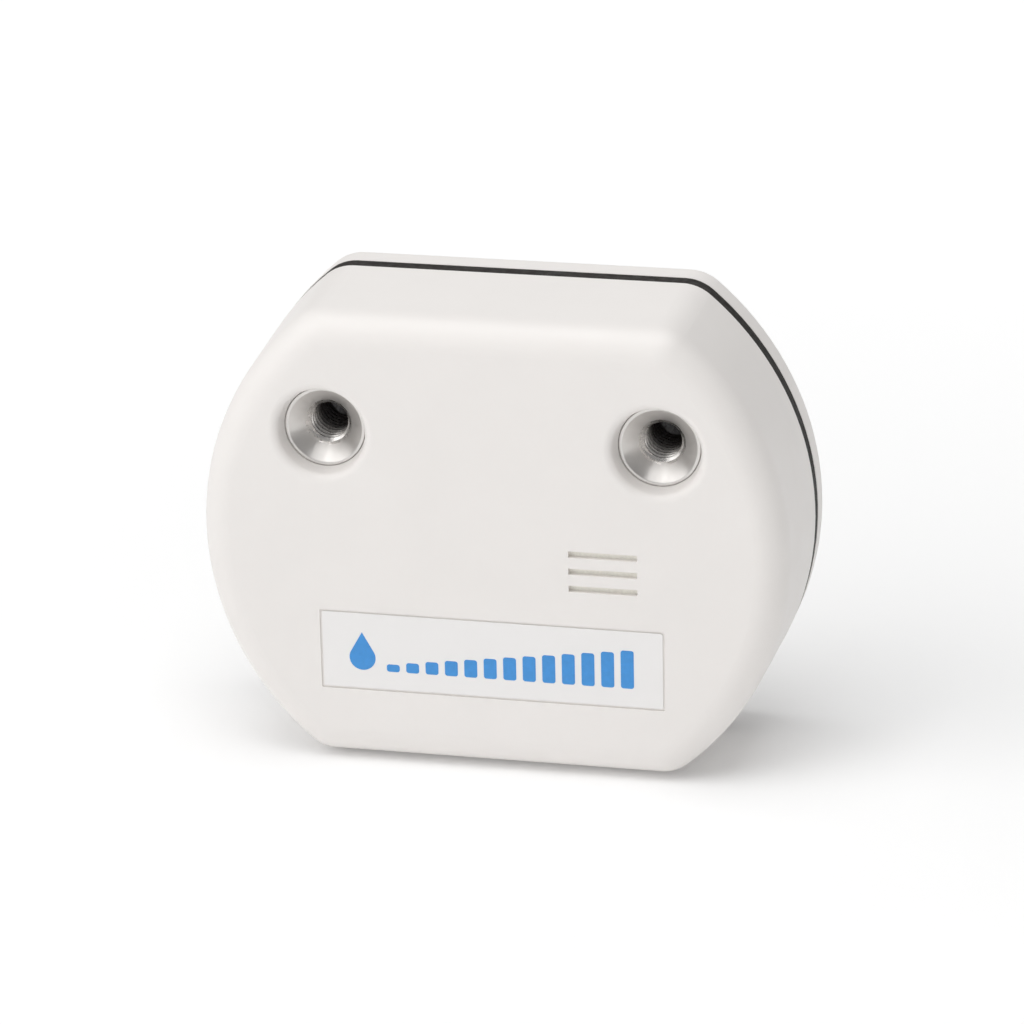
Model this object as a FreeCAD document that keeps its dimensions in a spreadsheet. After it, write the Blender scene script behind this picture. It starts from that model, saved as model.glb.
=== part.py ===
"""Wireless moisture meter: a sealed pocket housing with two threaded probe sockets on its face.

The meter stands on its lower flat. X is the width, Y is the depth with the probe face towards -Y,
and Z is up. Every part is drawn about the centre of the outline, which is half_height above the
ground, and depths are measured along Y from the middle of the closed housing.
"""
import FreeCAD, Part
import math
import os
import re

import Sketcher
from FreeCAD import Rotation, Vector

SIZES = {
    # Housing outline: a circle cut off by an upper and a lower flat
    "outline_radius": 34.0,
    "half_height": 27.0,
    "corner_radius": 4.9,
    "shell_depth": 16.6,
    "seam_gap": 1.9,
    "cover_depth": 4.1,
    "wall": 2.0,
    "front_wall": 2.2,
    "draft_angle": 1.8,
    "edge_round": 3.5,
    "cavity_round": 1.6,
    "back_edge_round": 1.4,
    # Probe sockets, M5 x 0.8 inside
    "socket_spacing": 38.1,
    "socket_rise": 12.8,
    "seat_mouth": 10.3,
    "seat_lip_round": 1.0,
    "seat_depth": 2.25,
    "nose_diameter": 9.26,
    "nose_clearance": 0.1,
    "nose_gap": 0.06,
    "nose_length": 2.75,
    "nose_land": 0.35,
    "funnel_depth": 1.5,
    "funnel_radius": 30.0,
    "thread_mouth": 5.3,
    "thread_size": 5.0,
    "thread_bore": 4.2,
    "thread_depth": 8.5,
    "mouth_chamfer": 0.55,
    "socket_flats": 12.0,
    "shank_diameter": 7.0,
    "shank_length": 6.6,
    "shank_chamfer": 0.5,
    "seal_groove_diameter": 11.4,
    "seal_groove_depth": 0.8,
    "seal_diameter": 10.2,
    "nut_flats": 11.0,
    "nut_depth": 3.0,
    "nut_chamfer": 0.3,
    "washer_diameter": 11.2,
    "washer_depth": 0.5,
    "socket_boss_diameter": 16.4,
    # Face details
    "slot_x": 12.9,
    "slot_y": -1.83,
    "slot_length": 7.8,
    "slot_height": 0.75,
    "slot_pitch": 2.05,
    "label_drop": 13.16,
    "label_recess_width": 39.7,
    "label_recess_height": 9.6,
    "label_recess_depth": 0.2,
    "label_recess_round": 0.25,
    "label_margin": 0.25,
    "label_depth": 0.15,
    "rating_width": 28.0,
    "rating_height": 15.0,
    # Cover fixings
    "upper_screw_x": 10.5,
    "upper_screw_rise": 21.45,
    "lower_screw_x": 20.5,
    "lower_screw_drop": 17.5,
    "screw_boss_diameter": 5.5,
    "screw_boss_gap": 0.3,
    "insert_diameter": 4.0,
    "insert_depth": 5.0,
    "insert_collar": 1.6,
    "insert_waist": 0.3,
    "insert_relief": 1.0,
    "screw_diameter": 2.5,
    "screw_bore": 2.9,
    "screw_length": 8.0,
    "screw_head_diameter": 4.7,
    "screw_head_depth": 1.5,
    "screw_well_diameter": 5.2,
    "screw_well_depth": 1.8,
    "screw_recess_width": 0.8,
    "screw_recess_length": 2.6,
    "screw_recess_depth": 0.9,
    "screw_tip": 0.3,
    # Gasket and the rib that locates it
    "gasket_inset": 0.05,
    "gasket_width": 1.7,
    "rib_inset": 2.2,
    "rib_width": 1.1,
    "rib_relief": 0.1,
    # Main board
    "board_standoff": 4.8,
    "board_depth": 1.6,
    "board_radius": 30.0,
    "board_top": 18.45,
    "board_bottom": 5.6,
    "board_post_x": 25.4,
    "board_post_drop": 2.4,
    "board_post_diameter": 5.0,
    "board_screw_diameter": 2.2,
    "board_screw_length": 5.5,
    "board_screw_head": 4.0,
    "board_screw_head_depth": 1.4,
    "board_screw_relief": 0.4,
    "tab_slot_width": 0.9,
    # Half-AA cell, its holder and contacts
    "cell_diameter": 14.5,
    "cell_length": 24.2,
    "cell_cap_diameter": 5.0,
    "cell_cap_length": 1.0,
    "cell_edge_round": 0.6,
    "cell_drop": 14.6,
    "cell_clearance": 0.3,
    "spring_space": 3.0,
    "contact_depth": 0.3,
    "contact_width": 9.0,
    "holder_wall": 1.4,
    "holder_floor": 1.0,
    "holder_height": 16.6,
    "end_wall_width": 12.0,
    "tab_width": 2.0,
    "tab_leg": 1.0,
    "tab_inset": 1.0,
    "tab_rise": 0.3,
    "tab_slot_margin": 0.2,
    "spring_wire": 0.6,
    "spring_diameter": 7.0,
    "spring_turns": 3.0,
    "peg_spacing": 10.0,
    "peg_diameter": 2.0,
    "peg_height": 0.9,
    "pad_width": 18.0,
    "pad_height": 9.0,
    "pad_gap": 0.2,
    "pad_round": 1.0,
    # Vent
    "vent_wall": 0.65,
    "vent_margin": 0.3,
    "membrane_width": 11.0,
    "membrane_height": 7.4,
    "membrane_depth": 0.25,
    "collar_width": 11.6,
    "collar_height": 7.8,
    "collar_wall": 1.4,
    # Parts on the board
    "sensor_width": 3.0,
    "sensor_depth": 1.1,
    "sensor_window_diameter": 1.5,
    "sensor_window_depth": 0.3,
    "radio_x": 2.4,
    "radio_rise": 7.4,
    "radio_width": 13.0,
    "radio_height": 11.0,
    "radio_depth": 0.8,
    "notch_diameter": 0.7,
    "notch_pitch": 1.27,
    "notch_count": 7,
    "shield_width": 11.0,
    "shield_height": 8.6,
    "shield_depth": 1.9,
    "shield_round": 0.5,
    "shield_wall": 0.2,
    "antenna_x": 2.4,
    "antenna_rise": 15.6,
    "antenna_diameter": 4.4,
    "antenna_wire": 0.7,
    "antenna_pitch": 1.5,
    "antenna_turns": 6.0,
    "antenna_leg": 1.2,
    "controller_x": -9.0,
    "controller_rise": -0.6,
    "controller_width": 7.0,
    "chip_depth": 1.4,
    "chip_lift": 0.1,
    "lead_width": 0.3,
    "lead_depth": 0.18,
    "lead_reach": 1.0,
    "controller_lead_pitch": 0.8,
    "controller_leads": 8,
    "meter_chip_x": -19.6,
    "meter_chip_rise": 1.4,
    "meter_chip_width": 3.9,
    "meter_chip_height": 4.9,
    "meter_lead_pitch": 1.27,
    "meter_leads": 4,
    "dimple_diameter": 0.8,
    "dimple_inset": 0.9,
    "dimple_depth": 0.1,
    "capacitor_x": 6.8,
    "capacitor_rise": -2.0,
    "capacitor_diameter": 6.3,
    "capacitor_depth": 7.7,
    "capacitor_base": 6.6,
    "capacitor_base_depth": 0.9,
    "can_groove": 0.3,
    "crystal_x": -1.0,
    "crystal_rise": -2.6,
    "crystal_width": 5.0,
    "crystal_height": 3.2,
    "crystal_depth": 1.1,
    "lamp_x": 14.2,
    "lamp_rise": 2.6,
    "lamp_width": 1.6,
    "lamp_height": 0.8,
    "lamp_depth": 0.6,
    "button_x": 19.8,
    "button_rise": 0.6,
    "button_base_width": 6.0,
    "button_base_depth": 3.1,
    "button_diameter": 3.5,
    "button_bore": 3.9,
    "button_bore_depth": 1.9,
    "button_stem": 2.2,
    "button_gap": 0.5,
    "button_round": 0.3,
    "chip_length": 1.6,
    "chip_width": 0.8,
    "chip_thickness": 0.5,
    "chip_cap": 0.3,
    "chip_step": 0.06,
}

# Depths along Y, from the face to the back
HALF_DEPTH = "(shell_depth + seam_gap + cover_depth) / 2"
FACE = f"(0 - {HALF_DEPTH})"
RIM = f"({FACE} + shell_depth)"
COVER_FRONT = f"({RIM} + seam_gap)"
BACK = f"({HALF_DEPTH})"
INNER_FACE = f"({FACE} + front_wall)"
VENT_FACE = f"({FACE} + vent_wall)"
COVER_INNER = f"({BACK} - front_wall)"
SOCKET_RING = f"({FACE} + seat_depth)"
FLANGE_FRONT = f"({SOCKET_RING} + nose_length)"
BOARD_FRONT = f"({INNER_FACE} + board_standoff)"
BOARD_BACK = f"({BOARD_FRONT} + board_depth)"
BOSS_TOP = f"({RIM} - screw_boss_gap)"
CELL_AXIS = f"({INNER_FACE} + holder_floor + cell_clearance + cell_diameter / 2)"

THREAD_START = f"({SOCKET_RING} + funnel_depth)"
SHANK_END = f"({BOARD_FRONT} + shank_length)"

# Height of the contacts' legs, which stand just inside the board's lower edge
TAB_LOW = "(tab_inset - board_bottom)"

# Positions along X of what the battery bay holds, about its middle
BAY_HALF = "(spring_space + cell_length + cell_cap_length + 2 * contact_depth) / 2"
CELL_START = f"(contact_depth + spring_space - {BAY_HALF})"

SMALL_PARTS = {
    "chip_resistors": [(-15.2, 5.2), (-15.2, 3.6), (-15.2, 2.0), (-1.0, 0.4), (12.0, 0.6), (12.0, -1.2)],
    "chip_capacitors": [(-12.4, 5.2), (-9.6, 5.2), (-6.8, 5.2), (-19.6, 5.2), (12.0, 4.4), (12.0, 6.2)],
}

# How close two lengths must be to count as the same, in mm
TOLERANCE = 0.001

doc = FreeCAD.newDocument("MoistureMeter")
sheet = doc.addObject("Spreadsheet::Sheet", "Sizes")


def fill_sheet():
    """Write every driving dimension into the spreadsheet under its own name."""
    for row, (name, value) in enumerate(SIZES.items(), start=1):
        sheet.set(f"A{row}", name)
        sheet.set(f"B{row}", str(value))
        sheet.setAlias(f"B{row}", name)
    doc.recompute()


def expression(formula):
    """The formula with the sheet's name in front of each dimension's name."""
    def full_name(word):
        return f"Sizes.{word.group()}" if word.group() in SIZES else word.group()
    return re.sub(r"[a-z_]+", full_name, str(formula))


def number(formula):
    """What the formula comes to, worked out by the sheet."""
    return float(sheet.evalExpression(expression(formula)))


def bind(item, path, formula):
    """Tie one property of an object to a formula of driving dimensions."""
    item.setExpression(path, expression(formula))


def place(item, x="0", y="0", z="0"):
    """Put an object at a point given from the centre of the outline."""
    bind(item, "Placement.Base.x", x)
    bind(item, "Placement.Base.y", y)
    bind(item, "Placement.Base.z", f"half_height + ({z})")


# Bodies, sketches and features

def new_body(label, x="0", y="0", z="0"):
    body = doc.addObject("PartDesign::Body", label)
    body.Label = label
    place(body, x, y, z)
    return body


def origin_plane(body, role):
    return next(item for item in body.Origin.OriginFeatures if item.Role == role)


def new_sketch(body, name, depth="0", role="XZ_Plane"):
    """A sketch on a plane of the body's origin. On XZ_Plane, depth is its place along Y."""
    sketch = body.newObject("Sketcher::SketchObject", name)
    sketch.AttachmentSupport = [(origin_plane(body, role), "")]
    sketch.MapMode = "FlatFace"
    sign = "-1 * " if role == "XZ_Plane" else ""
    bind(sketch, "AttachmentOffset.Base.z", f"{sign}({depth})")
    return sketch


def fix(sketch, kind, *where, formula):
    """Add one dimension to a sketch and tie it to a formula."""
    index = sketch.addConstraint(Sketcher.Constraint(kind, *where, number(formula)))
    bind(sketch, f"Constraints[{index}]", formula)


def fix_point(sketch, edge, end, x, y):
    fix(sketch, "DistanceX", -1, 1, edge, end, formula=x)
    fix(sketch, "DistanceY", -1, 1, edge, end, formula=y)


def draw_circle(sketch, diameter, x="0", y="0"):
    centre = Vector(number(x), number(y), 0)
    edge = sketch.addGeometry(Part.Circle(centre, Vector(0, 0, 1), number(diameter) / 2), False)
    fix(sketch, "Diameter", edge, formula=diameter)
    fix_point(sketch, edge, 3, x, y)


def draw_profile(sketch, points, arcs=None):
    """A closed outline through the points. arcs gives the radius of an edge by its number."""
    arcs = arcs or {}
    base = sketch.GeometryCount
    spots = [Vector(number(x), number(y), 0) for x, y in points]
    bends = [number(arcs.get(index, "0")) for index in range(len(points))]
    for index, start in enumerate(spots):
        end = spots[(index + 1) % len(spots)]
        sketch.addGeometry(edge_between(start, end, bends[index]), False)
    for index, (x, y) in enumerate(points):
        following = (index + 1) % len(points)
        start_end, far_end = (2, 1) if bends[index] < 0 else (1, 2)
        next_end = 2 if bends[following] < 0 else 1
        sketch.addConstraint(Sketcher.Constraint(
            "Coincident", base + index, far_end, base + following, next_end))
        fix_point(sketch, base + index, start_end, x, y)
        if bends[index]:
            fix(sketch, "Radius", base + index, formula=f"abs({arcs[index]})")


def edge_between(start, end, bend):
    """A line, or an arc of that radius with its centre on the left of the way (right if negative)."""
    if not bend:
        return Part.LineSegment(start, end)
    half = (end - start) / 2
    side = Vector(-half.y, half.x, 0).normalize() * math.copysign(1, bend)
    rise = math.sqrt(bend * bend - half.Length ** 2)
    centre = start + half + side * rise
    angles = [math.atan2(p.y - centre.y, p.x - centre.x) for p in (start, end)]
    if bend < 0:
        angles.reverse()
    return Part.ArcOfCircle(Part.Circle(centre, Vector(0, 0, 1), abs(bend)), *angles)


def draw_box(sketch, width, height, x="0", y="0"):
    """A rectangle about its middle."""
    left, right = f"{x} - ({width}) / 2", f"{x} + ({width}) / 2"
    low, high = f"{y} - ({height}) / 2", f"{y} + ({height}) / 2"
    draw_profile(sketch, [(left, low), (right, low), (right, high), (left, high)])


def draw_hexagon(sketch, flats):
    """A regular hexagon about the origin, with a flat on top."""
    half, tip = f"({flats}) / 2", f"({flats}) / sqrt(3)"
    corner = f"{tip} / 2"
    right = [(corner, f"0 - {half}"), (tip, "0"), (corner, half)]
    left = [(f"0 - {corner}", half), (f"0 - {tip}", "0"), (f"0 - {corner}", f"0 - {half}")]
    draw_profile(sketch, right + left)


def draw_outline(sketch, inset="0"):
    """The housing's outline, moved in: two round sides and two flats with rounded corners."""
    radius = f"outline_radius - ({inset})"
    half = f"half_height - ({inset})"
    corner = f"corner_radius - ({inset})"
    corner_z = number(half) - number(corner)
    corner_x = math.sqrt((number(radius) - number(corner)) ** 2 - corner_z ** 2)
    turn = math.atan2(corner_z, corner_x)
    quarter = math.pi / 2

    def arc(x, z, size, start, end):
        circle = Part.Circle(Vector(x, z, 0), Vector(0, 0, 1), number(size))
        return Part.ArcOfCircle(circle, start, end)

    def flat(x, z):
        return Part.LineSegment(Vector(x, z, 0), Vector(-x, z, 0))

    first = sketch.GeometryCount
    sketch.addGeometry([
        arc(0, 0, radius, -turn, turn),
        arc(corner_x, corner_z, corner, turn, quarter),
        flat(corner_x, number(half)),
        arc(-corner_x, corner_z, corner, quarter, 2 * quarter - turn),
        arc(0, 0, radius, 2 * quarter - turn, 2 * quarter + turn),
        arc(-corner_x, -corner_z, corner, 2 * quarter + turn, 3 * quarter),
        flat(-corner_x, -number(half)),
        arc(corner_x, -corner_z, corner, 3 * quarter, 4 * quarter - turn),
    ], False)
    right, corner_edge, top, left, bottom = (first + step for step in (0, 1, 2, 4, 6))
    for step in range(8):
        following = first + (step + 1) % 8
        sketch.addConstraint(Sketcher.Constraint("Tangent", first + step, 2, following, 1))
    for side in (right, left):
        sketch.addConstraint(Sketcher.Constraint("Coincident", side, 3, -1, 1))
    sketch.addConstraint(Sketcher.Constraint("Equal", right, left))
    for step in (3, 5, 7):
        sketch.addConstraint(Sketcher.Constraint("Equal", corner_edge, first + step))
    for edge in (top, bottom):
        sketch.addConstraint(Sketcher.Constraint("Horizontal", edge))
    fix(sketch, "Radius", right, formula=radius)
    fix(sketch, "Radius", corner_edge, formula=corner)
    fix(sketch, "DistanceY", -1, 1, top, 1, formula=half)
    fix(sketch, "DistanceY", bottom, 1, -1, 1, formula=half)


def add_feature(body, kind, sketch, length, backward, taper):
    feature = body.newObject(f"PartDesign::{kind}", f"{body.Name}_{kind}")
    feature.Profile = sketch
    feature.Reversed = backward
    bind(feature, "Length", length)
    if taper:
        bind(feature, "TaperAngle", f"-1 * {taper}")
    sketch.Visibility = False
    doc.recompute()
    return feature


def pad(body, sketch, length, backward=False, taper=None):
    """Grow a sketch towards the face, or towards the back."""
    return add_feature(body, "Pad", sketch, length, backward, taper)


def pocket(body, sketch, length, backward=False, taper=None):
    """Cut a sketch towards the face, or towards the back, and see that it removed something."""
    before = body.Shape.Volume
    feature = add_feature(body, "Pocket", sketch, length, not backward, taper)
    if body.Shape.Volume > before - TOLERANCE:
        raise RuntimeError(f"{feature.Name} cuts nothing")
    return feature


def turn_profile(body, name, points, arcs=None, axis="V_Axis", cut=False):
    """Turn a profile of (X, Y) points about the body's Y axis, or with H_Axis about its X axis."""
    sketch = new_sketch(body, name, role="XY_Plane")
    draw_profile(sketch, points, arcs)
    before = body.Shape.Volume if body.Tip else 0
    feature = body.newObject("PartDesign::Groove" if cut else "PartDesign::Revolution", f"{name}_turned")
    feature.Profile = sketch
    feature.ReferenceAxis = (sketch, [axis])
    feature.Angle = 360
    sketch.Visibility = False
    doc.recompute()
    if (body.Shape.Volume < before) != cut:
        raise RuntimeError(f"{feature.Name} turned the wrong way")
    return feature


def round_edges(body, name, radius, chosen):
    """Round the edges of the body's last feature that the test picks."""
    base = body.Tip
    edges = [f"Edge{i}" for i, edge in enumerate(base.Shape.Edges, start=1) if chosen(edge)]
    if not edges:
        raise RuntimeError(f"{name} finds no edge")
    feature = body.newObject("PartDesign::Fillet", name)
    feature.Base = (base, edges)
    bind(feature, "Radius", radius)
    doc.recompute()
    return feature


def flat_at(depth):
    """A test for edges that lie in the plane at that depth."""
    wanted = number(depth)

    def chosen(edge):
        box = edge.BoundBox
        return abs(box.YMin - wanted) < TOLERANCE and abs(box.YMax - wanted) < TOLERANCE
    return chosen


def copies(label, master, spots):
    """One node made of copies of the same piece at (x, z) spots, each a solid of its own."""
    links = []
    for index, (x, z) in enumerate(spots):
        link = doc.addObject("App::Link", f"{label}_{index}")
        link.LinkedObject = master
        link.LinkTransform = False
        bind(link, "Placement.Base.x", x)
        bind(link, "Placement.Base.z", f"half_height + ({z})")
        links.append(link)
    group = doc.addObject("Part::Compound", label)
    group.Label = label
    group.Links = links
    return group


def both_sides(x, z):
    return [(f"0 - {x}", z), (x, z)]


SOCKET_SPOTS = both_sides("socket_spacing / 2", "socket_rise")
UPPER_SCREWS = both_sides("upper_screw_x", "upper_screw_rise")
LOWER_SCREWS = both_sides("lower_screw_x", "0 - lower_screw_drop")
SCREW_SPOTS = UPPER_SCREWS + LOWER_SCREWS
BOARD_POSTS = both_sides("board_post_x", "0 - board_post_drop")
PEG_SPOTS = both_sides("peg_spacing / 2", "0 - cell_drop")


def circles(body, name, depth, diameter, spots):
    """A sketch of equal circles."""
    sketch = new_sketch(body, name, depth)
    for x, z in spots:
        draw_circle(sketch, diameter, x, z)
    return sketch


# Housing

def front_shell():
    """The deep front half: drafted walls, rounded front edge, bosses, sockets' seats and vent."""
    body = new_body("front_shell")
    outer = new_sketch(body, "shell_outline", RIM)
    draw_outline(outer)
    pad(body, outer, "shell_depth", taper="draft_angle")
    round_edges(body, "shell_front_round", "edge_round", flat_at(FACE))
    inner = new_sketch(body, "shell_cavity", RIM)
    draw_outline(inner, "wall")
    pocket(body, inner, "shell_depth - front_wall", taper="draft_angle")
    round_edges(body, "shell_cavity_round", "cavity_round", flat_at(INNER_FACE))
    pad(body, circles(body, "socket_bosses", INNER_FACE, "socket_boss_diameter", SOCKET_SPOTS),
        "board_standoff", backward=True)
    pad(body, circles(body, "board_posts", INNER_FACE, "board_post_diameter", BOARD_POSTS),
        "board_standoff", backward=True)
    pad(body, circles(body, "screw_bosses", INNER_FACE, "screw_boss_diameter", SCREW_SPOTS),
        f"{BOSS_TOP} - {INNER_FACE}", backward=True)
    pad(body, circles(body, "holder_pegs", INNER_FACE, "peg_diameter", PEG_SPOTS),
        "peg_height", backward=True)
    cut_socket_seats(body)
    cut_fixing_holes(body)
    cut_vent(body)
    cut_label_recess(body)
    return body


def cut_socket_seats(body):
    """Each seat is a soft funnel in the face, a nose hole, a seal groove and a hexagonal pocket."""
    for side, (x, z) in zip(("left", "right"), SOCKET_SPOTS):
        cone = new_sketch(body, f"seat_{side}", FACE)
        draw_circle(cone, "seat_mouth", x, z)
        pocket(body, cone, "seat_depth", backward=True,
               taper="atan((seat_mouth - nose_diameter - 2 * nose_gap) / 2 / seat_depth)")
    pocket(body, circles(body, "nose_holes", SOCKET_RING, "nose_diameter + 2 * nose_gap",
                         SOCKET_SPOTS), "nose_length", backward=True)
    mouth = number("seat_mouth") / 2

    def seat_edge(edge):
        curve = edge.Curve
        return flat_at(FACE)(edge) and hasattr(curve, "Radius") and abs(curve.Radius - mouth) < TOLERANCE
    round_edges(body, "seat_lips", "seat_lip_round", seat_edge)
    pocket(body, circles(body, "seal_grooves", FLANGE_FRONT, "seal_groove_diameter", SOCKET_SPOTS),
           "seal_groove_depth")
    for side, (x, z) in zip(("left", "right"), SOCKET_SPOTS):
        sketch = new_sketch(body, f"hexagon_{side}", BOARD_FRONT)
        bind(sketch, "AttachmentOffset.Base.x", x)
        bind(sketch, "AttachmentOffset.Base.y", z)
        draw_hexagon(sketch, "socket_flats + 2 * nose_clearance")
        pocket(body, sketch, f"{BOARD_FRONT} - {FLANGE_FRONT}")


def cut_fixing_holes(body):
    """Holes for the brass inserts and for the screws that hold the board."""
    pocket(body, circles(body, "insert_holes", BOSS_TOP, "insert_diameter", SCREW_SPOTS),
           "insert_depth + insert_relief")
    pocket(body, circles(body, "post_holes", BOARD_FRONT, "board_screw_diameter", BOARD_POSTS),
           "board_screw_length - board_depth + board_screw_relief")


def cut_vent(body):
    """Three straight slots through the face, where a pocket behind them makes the wall thin."""
    thin = new_sketch(body, "vent_pocket", INNER_FACE)
    draw_box(thin, "collar_width + 2 * vent_margin", "collar_height + 2 * vent_margin",
             "slot_x", "slot_y")
    pocket(body, thin, f"{INNER_FACE} - {VENT_FACE}")
    slots = new_sketch(body, "vent_slots", FACE)
    for step in (-1, 0, 1):
        draw_box(slots, "slot_length", "slot_height", "slot_x", f"slot_y + {step} * slot_pitch")
    pocket(body, slots, "vent_wall", backward=True)


def cut_label_recess(body):
    sketch = new_sketch(body, "label_recess", FACE)
    draw_box(sketch, "label_recess_width", "label_recess_height", "0", "0 - label_drop")
    pocket(body, sketch, "label_recess_depth", backward=True)
    half_width = number("label_recess_width") / 2

    def recess_corner(edge):
        box = edge.BoundBox
        upright = abs(box.YLength - number("label_recess_depth")) < TOLERANCE and box.ZLength < TOLERANCE
        return upright and abs(abs(box.XMin) - half_width) < TOLERANCE
    round_edges(body, "recess_corners", "label_recess_round", recess_corner)


def back_cover():
    """The shallow back half, with a rib inside the gasket and posts that reach the shell's bosses."""
    body = new_body("back_cover")
    outer = new_sketch(body, "cover_outline", COVER_FRONT)
    draw_outline(outer)
    pad(body, outer, "cover_depth", backward=True)
    round_edges(body, "cover_back_round", "back_edge_round", flat_at(BACK))
    inner = new_sketch(body, "cover_cavity", COVER_FRONT)
    draw_outline(inner, "rib_inset + rib_width")
    pocket(body, inner, "cover_depth - front_wall", backward=True)
    rib = new_sketch(body, "locating_rib", COVER_FRONT)
    draw_outline(rib, "rib_inset")
    draw_outline(rib, "rib_inset + rib_width")
    pad(body, rib, "seam_gap - rib_relief")
    pad(body, circles(body, "cover_posts", COVER_INNER, "screw_boss_diameter", SCREW_SPOTS),
        f"{COVER_INNER} - {BOSS_TOP}")
    pocket(body, circles(body, "screw_wells", BACK, "screw_well_diameter", SCREW_SPOTS),
           "screw_well_depth")
    pocket(body, circles(body, "screw_holes", BACK, "screw_bore", SCREW_SPOTS),
           f"{BACK} - {BOSS_TOP}")
    rating = new_sketch(body, "rating_recess", BACK)
    draw_box(rating, "rating_width + 2 * label_margin", "rating_height + 2 * label_margin")
    pocket(body, rating, "label_recess_depth")
    return body


def cover_gasket():
    """The black rubber ring that shows as the seam between shell and cover."""
    body = new_body("cover_gasket")
    ring = new_sketch(body, "gasket_ring", RIM)
    draw_outline(ring, "gasket_inset")
    draw_outline(ring, "gasket_inset + gasket_width")
    pad(body, ring, "seam_gap", backward=True)
    return body


def label(name, depth, width, height, drop, backward):
    """A thin plate with rounded corners that lies on the floor of its recess."""
    body = new_body(name, z=f"0 - ({drop})")
    sketch = new_sketch(body, f"{name}_plate", depth)
    draw_box(sketch, width, height)
    pad(body, sketch, "label_depth", backward=backward)
    round_edges(body, f"{name}_corners", "label_recess_round", lambda edge: edge.BoundBox.YLength > 0.1)
    return body


def front_label():
    return label("front_label", f"{FACE} + label_recess_depth", "label_recess_width - 2 * label_margin",
                 "label_recess_height - 2 * label_margin", "label_drop", backward=False)


def rating_label():
    return label("rating_label", f"{BACK} - label_recess_depth", "rating_width", "rating_height", "0",
                 backward=True)


def screw(name, head_under, sizes, recess_depth):
    """A cheese-head screw along Y with its head towards the back and a cross recess."""
    head_diameter, head_depth, diameter, length = sizes
    body = new_body(name)
    turn_profile(body, f"{name}_profile", [
        ("0", f"{head_under} + {head_depth}"),
        ("0", f"{head_under} - {length}"),
        (f"{diameter} / 2 - screw_tip", f"{head_under} - {length}"),
        (f"{diameter} / 2", f"{head_under} - {length} + screw_tip"),
        (f"{diameter} / 2", head_under),
        (f"{head_diameter} / 2", head_under),
        (f"{head_diameter} / 2", f"{head_under} + {head_depth} - screw_tip"),
        (f"{head_diameter} / 2 - screw_tip", f"{head_under} + {head_depth}"),
    ])
    for way, (width, height) in enumerate((("screw_recess_length", "screw_recess_width"),
                                           ("screw_recess_width", "screw_recess_length"))):
        slot = new_sketch(body, f"{name}_recess_{way}", f"{head_under} + {head_depth}")
        draw_box(slot, width, height)
        pocket(body, slot, recess_depth)
    return body


def cover_screws():
    sizes = ("screw_head_diameter", "screw_head_depth", "screw_diameter", "screw_length")
    master = screw("cover_screw", f"({BACK} - screw_well_depth)", sizes, "screw_recess_depth")
    return copies("cover_screws", master, SCREW_SPOTS)


def board_screws():
    sizes = ("board_screw_head", "board_screw_head_depth", "board_screw_diameter", "board_screw_length")
    master = screw("board_screw", BOARD_BACK, sizes, "screw_recess_depth")
    return copies("board_screws", master, BOARD_POSTS)


def cover_inserts():
    """Brass inserts in the shell's bosses, each with a waist between two collars."""
    body = new_body("cover_insert")
    top, low = BOSS_TOP, f"({BOSS_TOP} - insert_depth)"
    turn_profile(body, "insert_profile", [
        ("screw_diameter / 2", top),
        ("screw_diameter / 2", low),
        ("insert_diameter / 2", low),
        ("insert_diameter / 2", f"{low} + insert_collar"),
        ("insert_diameter / 2 - insert_waist", f"{low} + insert_collar"),
        ("insert_diameter / 2 - insert_waist", f"{top} - insert_collar"),
        ("insert_diameter / 2", f"{top} - insert_collar"),
        ("insert_diameter / 2", top),
    ])
    return copies("cover_inserts", body, SCREW_SPOTS)


# Probe sockets

def probe_socket(side, x):
    """A stainless socket: a slightly flared mouth, an M5 thread, a hexagonal flange and a shank."""
    name = f"probe_socket_{side}"
    body = new_body(name, x, z="socket_rise")
    turn_profile(body, f"{name}_profile", [
        ("0", f"{THREAD_START} + mouth_chamfer"),
        ("thread_bore / 2", f"{THREAD_START} + mouth_chamfer"),
        ("thread_mouth / 2", THREAD_START),
        ("nose_diameter / 2 - nose_land", SOCKET_RING),
        ("nose_diameter / 2", SOCKET_RING),
        ("nose_diameter / 2", FLANGE_FRONT),
        ("shank_diameter / 2", FLANGE_FRONT),
        ("shank_diameter / 2", f"{SHANK_END} - shank_chamfer"),
        ("shank_diameter / 2 - shank_chamfer", SHANK_END),
        ("0", SHANK_END),
    ], arcs={2: "funnel_radius"})
    flange = new_sketch(body, f"{name}_flange", FLANGE_FRONT)
    draw_hexagon(flange, "socket_flats")
    pad(body, flange, f"{BOARD_FRONT} - {FLANGE_FRONT}", backward=True)
    cut_thread(body, name)
    return body


def cut_thread(body, name):
    """The blind M5 hole, tapped: its wall is drawn plain at the thread's inner diameter."""
    sketch = new_sketch(body, f"{name}_thread", THREAD_START)
    draw_circle(sketch, "thread_size")
    before = body.Shape.Volume
    hole = body.newObject("PartDesign::Hole", f"{name}_hole")
    hole.Profile = sketch
    doc.recompute()
    hole.ThreadType = "ISOMetricProfile"
    hole.ThreadSize = "M5x0.8"
    hole.Threaded = True
    hole.DepthType = "Dimension"
    hole.DrillPoint = "Flat"
    bind(hole, "Depth", "thread_depth")
    sketch.Visibility = False
    doc.recompute()
    if body.Shape.Volume > before:
        raise RuntimeError(f"{name} has no thread")


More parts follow.
